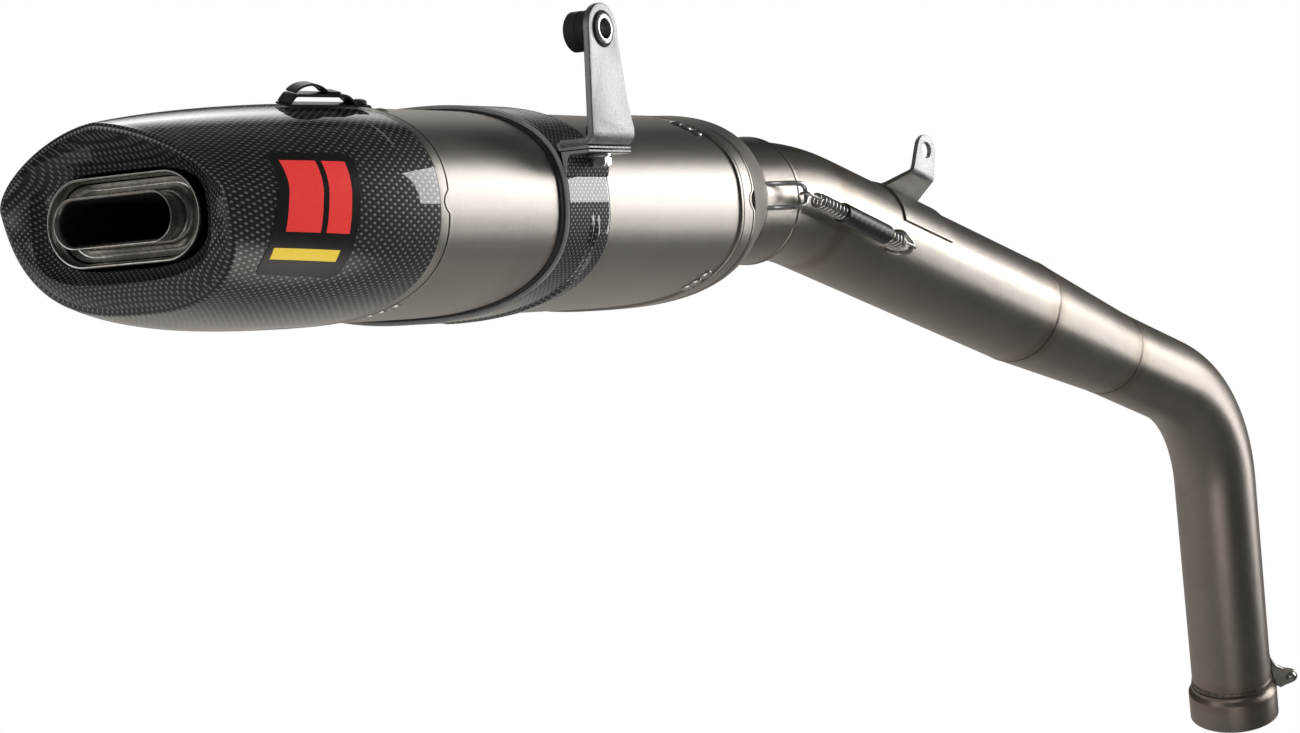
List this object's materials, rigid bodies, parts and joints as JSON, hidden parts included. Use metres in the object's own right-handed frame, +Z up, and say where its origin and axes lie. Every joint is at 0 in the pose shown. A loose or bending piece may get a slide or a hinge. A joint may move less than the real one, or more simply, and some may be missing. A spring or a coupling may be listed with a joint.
{
  "type": "motorcycle exhaust system",
  "caption": "Motorcycle slip-on exhaust: oval brushed titanium muffler with a carbon end cap, a carbon clamp with its hanger arm, and a bent link pipe held by springs.",
  "frame": {"origin": "centre of the inlet collar's mouth, where the link pipe slides over the header", "axes": "+X runs forward along the muffler from its outlet towards the inlet, +Z is up, and -Y is the near side, where the hanger arm stands"},
  "size_m": [1.054, 0.185, 0.4228],
  "materials": {
    "titanium": "satin brushed titanium",
    "titanium_sleeve": "satin brushed titanium sleeve",
    "weld": "weld bead with heat tint",
    "carbon": "gloss clear-coated carbon twill",
    "bright_steel": "polished stainless steel",
    "arm_alloy": "bead-blasted aluminium",
    "black_steel": "satin black paint",
    "rubber": "matte black rubber",
    "silicone": "black silicone tube",
    "inner_steel": "plain stainless steel, smoke-darkened",
    "wool": "glass packing wool",
    "badge": "plain satin heat-proof patch"
  },
  "bodies": {
    "link_pipe": {"inlet_collar": "titanium", "inlet_hook": "titanium", "lower_pipe": "titanium", "lower_elbow": "titanium", "middle_pipe": "titanium", "reducer_cone": "titanium", "upper_pipe": "titanium", "upper_elbow": "titanium", "slip_spigot": "titanium", "weld_seams": "weld", "bracket_doubler": "titanium", "pipe_bracket": "arm_alloy", "pipe_hook_near": "bright_steel", "pipe_hook_far": "bright_steel"},
    "muffler": {"inlet_neck": "titanium", "front_cap": "titanium_sleeve", "front_band": "titanium_sleeve", "outer_sleeve": "titanium_sleeve", "rear_band": "titanium_sleeve", "end_cap": "carbon", "front_rivets": "bright_steel", "rear_rivets": "bright_steel", "core_tube": "inner_steel", "packing_wool": "wool", "front_baffle": "inner_steel", "rear_baffle": "inner_steel", "outlet_baffle": "inner_steel", "outlet_tube": "inner_steel", "neck_hook_near": "bright_steel", "neck_hook_far": "bright_steel", "clamp_lining": "rubber", "clamp_strap": "carbon", "clamp_bolt": "bright_steel", "clamp_washers": "bright_steel", "clamp_nut": "bright_steel", "hanger_arm": "arm_alloy", "hanger_grommet": "rubber", "hanger_bush": "bright_steel", "shield_bracket": "black_steel", "shield_clip": "black_steel", "shield_screws": "black_steel", "badge_patch": "badge", "spring_near": "bright_steel", "spring_far": "bright_steel", "spring_sleeve_near": "silicone", "spring_sleeve_far": "silicone"},
    "insert": {"insert_plate": "inner_steel", "insert_tube": "inner_steel", "insert_clip": "inner_steel"}
  },
  "joints": [
    {"name": "muffler_swivel", "type": "hinge", "parent": "link_pipe", "child": "muffler", "pos_m": [-0.55866, 0.02088, 0.33738], "axis": [1, 0, 0], "range_deg": [-8, 8], "deforming": ["spring_near", "spring_far", "spring_sleeve_near", "spring_sleeve_far"]},
    {"name": "insert_slide", "type": "slide", "parent": "muffler", "child": "insert", "axis": [-1, 0, 0], "range_m": [0, 0.08]}
  ]
}
